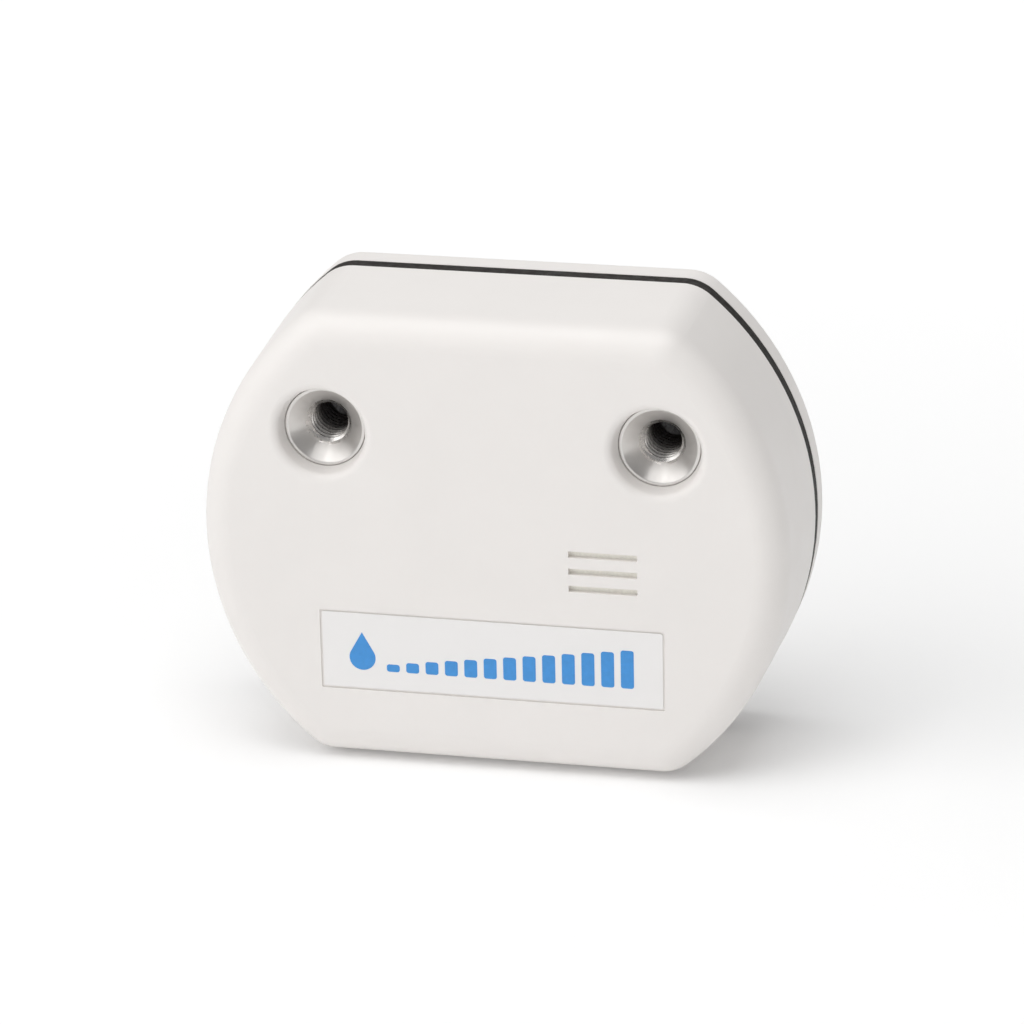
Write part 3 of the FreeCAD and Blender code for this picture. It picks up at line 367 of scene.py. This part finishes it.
def plated(name, colour, roughness=0.28):
    """Plated or drawn metal with a little uneven gloss."""
    shader = Shader(name, colour, roughness, metallic=1.0)
    shader.vary(2.5 * MM, 0.03)
    shader.gloss(1.5 * MM, roughness * 0.94, roughness * 1.08, detail=1)
    shader.relief(shader.noise(1.2 * MM, 1), 0.002 * MM, 0.1)
    return shader.material


def brass():
    """Brass with a straight knurl."""
    shader = Shader("knurled_brass", BRASS, 0.3, metallic=1.0)
    shader.vary(1.0 * MM, 0.08)
    shader.gloss(0.5 * MM, 0.22, 0.42)
    shader.relief(shader.waves(0.35 * MM), 0.05 * MM, 0.6)
    return shader.material


def solder_mask(name, colour, track):
    """A circuit board: mask over long copper tracks along X, joined here and there along Z."""
    shader = Shader(name, colour, 0.35, Coat_Weight=0.4, Coat_Roughness=0.15)
    place = shader.node("ShaderNodeSeparateXYZ", Vector=shader.place).outputs
    flat = shader.node("ShaderNodeCombineXYZ", X=place["X"], Y=place["Z"]).outputs["Vector"]
    stagger = {"offset": 0.37, "squash": 0.7, "squash_frequency": 3}
    tracks = shader.node("ShaderNodeTexBrick", stagger, Vector=flat, Scale=1.0,
                         Mortar_Size=0.09 * MM, Mortar_Smooth=0.1,
                         Brick_Width=8.3 * MM, Row_Height=0.62 * MM).outputs["Fac"]
    shader.link(shader.blend(tracks, colour, track), "Base Color")
    shader.gloss(1.5 * MM, 0.28, 0.42)
    shader.relief(tracks, 0.03 * MM, 0.6)
    return shader.material


def moulded(name, colour):
    """Moulded or fired compound of chips, switches and the cell's holder."""
    shader = Shader(name, colour, 0.5, Specular_IOR_Level=0.4)
    shader.vary(0.8 * MM, 0.15)
    shader.gloss(0.4 * MM, 0.42, 0.62)
    shader.relief(shader.noise(0.12 * MM, 3), 0.01 * MM, 0.5)
    return shader.material


def leaded_chip(name, centre, width, height):
    """Black moulding of that size across X and Z, with tinned leads outside it."""
    shader = Shader(name, MOULD_BLACK, 0.5, Specular_IOR_Level=0.4)
    away = shader.node("ShaderNodeVectorMath", {"operation": "ABSOLUTE"})
    shader.links.new(shader.shifted(centre), away.inputs[0])
    parts = shader.node("ShaderNodeSeparateXYZ", Vector=away.outputs["Vector"]).outputs
    beside = shader.spread(parts["X"], 0, 1, width / 2, width / 2 + CHIP_EDGE)
    above = shader.spread(parts["Z"], 0, 1, height / 2, height / 2 + CHIP_EDGE)
    leads = shader.node("ShaderNodeMath", {"operation": "MAXIMUM"})
    shader.links.new(beside, leads.inputs[0])
    shader.links.new(above, leads.inputs[1])
    shader.link(shader.blend(leads.outputs["Value"], MOULD_BLACK, TIN), "Base Color")
    shader.link(leads.outputs["Value"], "Metallic")
    shader.gloss(0.4 * MM, 0.42, 0.55)
    shader.relief(shader.noise(0.12 * MM, 3), 0.01 * MM, 0.3)
    return shader.material


def cell_sleeve(centre, start):
    """A two-tone shrink sleeve from X = start, with the cell's bare metal in its open ends."""
    shader = Shader("cell_sleeve", SLEEVE_GREEN, 0.3, Coat_Weight=0.5, Coat_Roughness=0.1)
    along = shader.node("ShaderNodeSeparateXYZ", Vector=shader.place).outputs["X"]
    band = shader.spread(along, 0, 1, start + SLEEVE_BAND, start + SLEEVE_BAND + SLEEVE_EDGE)
    sleeve = shader.blend(band, SLEEVE_GREY, SLEEVE_GREEN)
    radius = shader.length(shader.shifted(centre, stretch=(0, 1, 1)))
    bare = shader.spread(radius, 1, 0, SLEEVE_OPENING / 2, SLEEVE_OPENING / 2 + SLEEVE_EDGE)
    shader.link(shader.blend(bare, sleeve, NICKEL), "Base Color")
    shader.link(bare, "Metallic")
    shader.gloss(3 * MM, 0.29, 0.33, detail=1)
    shader.relief(shader.noise(2.5 * MM, 1), 0.01 * MM, 0.2)
    return shader.material


def felt():
    """Breathable felt sheet."""
    shader = Shader("felt_sheet", FELT_WHITE, 0.95, Sheen_Weight=0.3)
    shader.vary(0.25 * MM, 0.05)
    shader.relief(shader.noise(0.15 * MM, 5), 0.03 * MM, 0.5)
    return shader.material


def lens():
    """Pale clear-coated resin of the lamp."""
    shader = Shader("lamp_lens", LENS_WHITE, 0.12, Coat_Weight=1.0)
    shader.vary(0.3 * MM, 0.05)
    shader.gloss(0.3 * MM, 0.08, 0.2)
    return shader.material


# Building blocks

def centre_of(node):
    """The middle of a CAD node's box."""
    low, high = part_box(node)
    return (low + high) / 2


def mesh_object(name, mesh_maker, material, body):
    """An object made by a function that fills a bmesh, riding on a body."""
    grid = bmesh.new()
    mesh_maker(grid)
    mesh = bpy.data.meshes.new(name)
    grid.to_mesh(mesh)
    grid.free()
    mesh.shade_smooth()
    mesh.set_sharp_from_angle(angle=SHARP_ANGLE)
    mesh.materials.append(material)
    item = bpy.data.objects.new(name, mesh)
    bpy.context.scene.collection.objects.link(item)
    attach(item, body)
    return item


def slab(grid, outline, front, thickness):
    """A flat piece with the given (x, z) outline, its front face at Y = front."""
    ring = [grid.verts.new((x, front, z)) for x, z in outline]
    face = grid.faces.new(ring)
    grown = bmesh.ops.extrude_face_region(grid, geom=[face])["geom"]
    moved = [item for item in grown if isinstance(item, bmesh.types.BMVert)]
    bmesh.ops.translate(grid, verts=moved, vec=(0, thickness, 0))
    bmesh.ops.recalc_face_normals(grid, faces=grid.faces)


def rounded_bar(x, z, width, height, radius):
    """Outline of an upright bar with round corners, standing on z."""
    outline = []
    corners = ((x + width - radius, z + radius, -90), (x + width - radius, z + height - radius, 0),
               (x + radius, z + height - radius, 90), (x + radius, z + radius, 180))
    for centre_x, centre_z, start in corners:
        for step in range(CORNER_STEPS + 1):
            turn = math.radians(start + 90 * step / CORNER_STEPS)
            outline.append((centre_x + radius * math.cos(turn), centre_z + radius * math.sin(turn)))
    return outline


def drop(x, z, height):
    """Outline of a water drop with its point up, centred on x and standing on z."""
    radius = height * DROP_ROUNDNESS
    centre = z + radius
    lift = math.asin(radius / (height - radius))
    outline = [(x, z + height)]
    for step in range(DROP_STEPS + 1):
        turn = math.pi - lift + (math.pi + 2 * lift) * step / DROP_STEPS
        outline.append((x + radius * math.cos(turn), centre + radius * math.sin(turn)))
    return outline


# Probe sockets

def arc_points(first, last, radius, steps):
    """Points of an arc from first to last, its centre right of the way (left if negative)."""
    first, last = Vector(first), Vector(last)
    chord = last - first
    aside = Vector((chord.y, -chord.x)).normalized() * math.copysign(1, radius)
    centre = first + chord / 2 + aside * math.sqrt(radius ** 2 - chord.length_squared / 4)
    start, end = first - centre, last - centre
    sweep = math.atan2(start.x * end.y - start.y * end.x, start.dot(end))
    points = []
    for step in range(steps + 1):
        turn = math.atan2(start.y, start.x) + sweep * step / steps
        spoke = Vector((math.cos(turn), math.sin(turn))) * abs(radius)
        points.append(tuple(centre + spoke))
    return points


def revolve(grid, profile, centre, steps=LATHE_STEPS):
    """Turns (radius, y) points about an axis along Y through the centre."""
    rings = []
    for radius, y in profile:
        ring = []
        for step in range(steps):
            turn = math.tau * step / steps
            spot = (centre.x + radius * math.cos(turn), y, centre.z + radius * math.sin(turn))
            ring.append(grid.verts.new(spot))
        rings.append(ring)
    for near, far in zip(rings, rings[1:]):
        for step in range(steps):
            following = (step + 1) % steps
            grid.faces.new((near[step], near[following], far[following], far[step]))


def groove_depth(share):
    """How deep the thread's groove is, from 0 to 1, at a share of one pitch."""
    away = abs(share - GROOVE_MIDDLE)
    return min(max((GROOVE_TOP - away) / (GROOVE_TOP - GROOVE_FLOOR), 0), 1)


def thread_radius(share, depth):
    """The tapped wall's radius at a share of one pitch and a depth, with the mouth's chamfer."""
    groove = groove_depth(share) * (THREAD_OUTER - THREAD_INNER)
    slope = (SOCKET_MOUTH / 2 - THREAD_INNER) / MOUTH_CHAMFER
    return max(THREAD_INNER + groove, SOCKET_MOUTH / 2 - slope * max(0, depth))


def tapped_wall(grid, centre, start, end):
    """The wall of a tapped hole: one groove wound from the mouth's chamfer to the bottom."""
    pitches = math.ceil((end - start) / THREAD_PITCH) + 1
    columns = []
    for step in range(LATHE_STEPS + 1):
        turn = step / LATHE_STEPS
        side = Vector((math.cos(math.tau * turn), 0, math.sin(math.tau * turn)))
        column = []
        for row in range(-THREAD_ROWS, pitches * THREAD_ROWS):
            y = start + (row / THREAD_ROWS + turn) * THREAD_PITCH
            radius = THREAD_INNER if y > end else thread_radius(row / THREAD_ROWS % 1, y - start)
            y = min(max(y, start), end)
            column.append(grid.verts.new(Vector((centre.x, y, centre.z)) + side * radius))
        columns.append(column)
    for near, far in zip(columns, columns[1:]):
        for row in range(len(near) - 1):
            grid.faces.new((near[row], near[row + 1], far[row + 1], far[row]))


def hexagon_flange(grid, centre, front, back, tip, chamfer):
    """A hexagonal flange, tip from its centre to a corner, chamfered at both faces."""
    profile = (
        (tip - chamfer, front),
        (tip, front + chamfer),
        (tip, back - chamfer),
        (tip - chamfer, back),
        (FLANGE_INNER, back),
        (FLANGE_INNER, front),
        (tip - chamfer, front),
    )
    revolve(grid, profile, centre, steps=HEXAGON_STEPS)


def socket_profile(front, back):
    """(radius, y) points of the turned body, from the thread's mouth round to the shank's end."""
    land = RING_DIAMETER / 2 - RING_LAND
    edge = RING_DIAMETER / 2
    lip = (land - LIP_SIZE, front + LIP_SIZE)
    shank = SHANK_DIAMETER / 2
    shoulder = front + NOSE_LENGTH
    return [
        *arc_points((SOCKET_MOUTH / 2, front + FUNNEL_DEPTH), lip, -FLARE_RADIUS, FLARE_STEPS),
        *arc_points(lip, (land + LIP_SIZE, front), -LIP_RADIUS, EDGE_STEPS)[1:],
        *arc_points((edge - RING_ROUND, front), (edge, front + RING_ROUND), -RING_ROUND, EDGE_STEPS),
        (edge, shoulder),
        (shank, shoulder),
        (shank, back - SHANK_CHAMFER),
        (shank - SHANK_CHAMFER, back),
        (0, back),
    ]


def probe_socket(node, body_material, bore_material):
    """A turned stainless socket with a flared mouth, a real M5 thread, a flange and a shank."""
    low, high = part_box(node)
    centre = centre_of(node)
    front = low.y
    mouth = front + FUNNEL_DEPTH
    bottom = mouth + THREAD_LENGTH
    flange_front = front + NOSE_LENGTH
    flange_tip = (high.z - low.z) / math.sqrt(3)

    def fill(grid):
        tapped_wall(grid, centre, mouth, bottom)
        revolve(grid, [(THREAD_INNER, bottom), (0, bottom + DRILL_TIP)], centre)
        for face in grid.faces:
            face.material_index = 1
        revolve(grid, socket_profile(front, high.y), centre)
        hexagon_flange(grid, centre, flange_front, flange_front + FLANGE_DEPTH, flange_tip, RING_ROUND)
        bmesh.ops.remove_doubles(grid, verts=grid.verts, dist=WELD_DISTANCE)
        bmesh.ops.recalc_face_normals(grid, faces=grid.faces)

    piece = mesh_object(node.replace("probe", "turned"), fill, body_material, "housing")
    piece.data.materials.append(bore_material)
    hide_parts(node)


# Label print

def label_print():
    """A drop and a row of rising bars: a plain sign for moisture."""
    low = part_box("front_label")[0]
    left = low.x + PRINT_MARGIN_X
    base = low.z + PRINT_MARGIN_Z
    front = low.y - PRINT_PROUD

    def fill(grid):
        slab(grid, drop(left + DROP_MIDDLE, base, DROP_HEIGHT), front, PRINT_THICKNESS)
        for step in range(BAR_COUNT):
            x = left + BAR_START + step * BAR_PITCH
            height = BAR_LOWEST + (BAR_HIGHEST - BAR_LOWEST) * step / (BAR_COUNT - 1)
            slab(grid, rounded_bar(x, base, BAR_WIDTH, height, BAR_CORNER), front, PRINT_THICKNESS)

    mesh_object("label_print", fill, ink(), "housing")


# Finishing the CAD nodes

def housing_finishes():
    """Materials of the shells, labels, seals and fasteners, by node."""
    shell = moulded_shell()
    film = label_film()
    seal = rubber("seal_rubber", SEAL_BLACK)
    return {
        "front_shell": shell,
        "back_cover": shell,
        "cover_gasket": rubber("gasket_rubber", GASKET_BLACK),
        "front_label": film,
        "rating_label": film,
        "socket_seal_left": seal,
        "socket_seal_right": seal,
        "socket_washers": plated("washer_steel", WASHER_STEEL),
        "socket_nuts": plated("nut_steel", NUT_STEEL),
        "board_screws": plated("screw_zinc", SCREW_ZINC),
        "cover_screws": plated("screw_steel", SCREW_STEEL, roughness=0.24),
        "cover_inserts": brass(),
        "vent_membrane": felt(),
        "vent_collar": foam("collar_foam", COLLAR_GREY),
    }


def board_finishes():
    """Materials of the circuit boards and the parts on them, by node."""
    return {
        "main_board": solder_mask("green_mask", MASK_GREEN, TRACK_GREEN),
        "radio_board": solder_mask("blue_mask", MASK_BLUE, TRACK_BLUE),
        "microcontroller": leaded_chip("controller_mould", centre_of("microcontroller"),
                                       CONTROLLER_WIDTH, CONTROLLER_WIDTH),
        "measuring_chip": leaded_chip("meter_chip_mould", centre_of("measuring_chip"),
                                      METER_CHIP_WIDTH, METER_CHIP_HEIGHT),
        "humidity_sensor": moulded("sensor_mould", SENSOR_GREY),
        "radio_shield": plated("shield_steel", SHIELD_STEEL, roughness=0.35),
        "antenna_coil": plated("antenna_plating", ANTENNA_GOLD, roughness=0.22),
        "storage_capacitor": plated("can_aluminium", CAN_ALUMINIUM, roughness=0.3),
        "crystal": plated("crystal_lid", CRYSTAL_LID, roughness=0.3),
        "status_lamp": lens(),
        "button_base": moulded("switch_mould", SWITCH_BLACK),
        "pairing_button": moulded("plunger_mould", PLUNGER_GREY),
        "chip_resistors": moulded("resistor_ceramic", RESISTOR_BLACK),
        "chip_capacitors": moulded("capacitor_ceramic", CAPACITOR_BROWN),
    }


def battery_finishes():
    """Materials of the cell, its holder and its contacts, by node."""
    contact = plated("contact_nickel", NICKEL)
    return {
        "battery_holder": moulded("holder_mould", HOLDER_BLACK),
        "battery_cell": cell_sleeve(centre_of("battery_cell"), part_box("battery_cell")[0].x),
        "battery_spring": plated("spring_nickel", NICKEL),
        "negative_contact": contact,
        "positive_contact": contact,
        "battery_pad": foam("pad_foam", PAD_GREY),
    }


def socket_finishes():
    """Materials of the two probe sockets, by node."""
    return {node: turned_steel(node.replace("probe_socket", "turned_steel"), centre_of(node))
            for node in SOCKETS}


def finish_nodes(nodes, finishes):
    """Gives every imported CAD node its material."""
    for name, node in nodes.items():
        node.data.materials.clear()
        node.data.materials.append(finishes[name])


# Stage

def floor():
    """A wide pale floor that glows more away from the meter, like paper lit from below."""
    bpy.ops.mesh.primitive_plane_add(size=FLOOR_SIZE)
    plane = bpy.context.object
    plane.name = "floor"
    shader = Shader("floor_paper", FLOOR_WHITE, 0.9)
    shader.vary(200 * MM, 0.003)
    shader.set("Emission Color", LIGHT_WHITE)
    glow = shader.spread(shader.length(shader.place), FLOOR_GLOW, FAR_GLOW, GLOW_START, GLOW_END)
    shader.link(glow, "Emission Strength")
    plane.data.materials.append(shader.material)


def sky():
    """Even white light from all round, brighter for the camera than for the meter."""
    world = bpy.data.worlds.new("studio")
    bpy.context.scene.world = world
    world.use_nodes = True
    background = world.node_tree.nodes["Background"]
    background.inputs["Color"].default_value = LIGHT_WHITE
    path = world.node_tree.nodes.new("ShaderNodeLightPath")
    strength = world.node_tree.nodes.new("ShaderNodeMapRange")
    strength.inputs["To Min"].default_value = SKY_STRENGTH
    strength.inputs["To Max"].default_value = BACKDROP_STRENGTH
    world.node_tree.links.new(path.outputs["Is Camera Ray"], strength.inputs["Value"])
    world.node_tree.links.new(strength.outputs["Result"], background.inputs["Strength"])


def softbox(name, direction, power):
    """A square soft light that looks at the meter."""
    data = bpy.data.lights.new(name, "AREA")
    data.shape = "SQUARE"
    data.size = SOFTBOX_SIZE
    data.energy = power
    light = bpy.data.objects.new(name, data)
    bpy.context.scene.collection.objects.link(light)
    light.location = TARGET + direction.normalized() * SOFTBOX_DISTANCE
    light.rotation_euler = direction.to_track_quat("Z", "Y").to_euler()


def camera():
    """A long lens a little above and to the right of the meter, slightly rolled."""
    level = math.cos(ELEVATION)
    back = Vector((math.sin(AZIMUTH) * level, -math.cos(AZIMUTH) * level, math.sin(ELEVATION)))
    right = Vector((math.cos(AZIMUTH), math.sin(AZIMUTH), 0))
    up = back.cross(right)
    rolled_right = right * math.cos(ROLL) + up * math.sin(ROLL)
    rolled_up = up * math.cos(ROLL) - right * math.sin(ROLL)
    data = bpy.data.cameras.new("camera")
    data.lens = LENS
    data.sensor_width = SENSOR_WIDTH
    data.shift_x, data.shift_y = SHIFT
    data.clip_start = CLIP_START
    item = bpy.data.objects.new("camera", data)
    bpy.context.scene.collection.objects.link(item)
    turned = Matrix((rolled_right, rolled_up, back)).transposed().to_4x4()
    item.matrix_world = Matrix.Translation(TARGET + back * DISTANCE) @ turned
    bpy.context.scene.camera = item


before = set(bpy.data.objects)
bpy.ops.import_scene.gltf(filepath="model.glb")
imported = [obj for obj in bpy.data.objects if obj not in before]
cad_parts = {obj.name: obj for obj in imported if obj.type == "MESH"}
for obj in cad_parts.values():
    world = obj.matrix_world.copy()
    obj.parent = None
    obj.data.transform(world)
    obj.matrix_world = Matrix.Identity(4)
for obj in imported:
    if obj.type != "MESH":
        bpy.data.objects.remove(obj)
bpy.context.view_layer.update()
bpy.context.scene.view_settings.view_transform = "Standard"
socket_steels = socket_finishes()
bore_steel = tapped_steel(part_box(SOCKETS[0])[0].y + FUNNEL_DEPTH)
finish_nodes(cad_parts,
             housing_finishes() | board_finishes() | battery_finishes() | socket_steels)
for socket_node, socket_steel in socket_steels.items():
    probe_socket(socket_node, socket_steel, bore_steel)
label_print()
floor()
sky()
for light_name, (light_direction, light_power) in SOFTBOXES.items():
    softbox(light_name, Vector(light_direction), light_power)
camera()
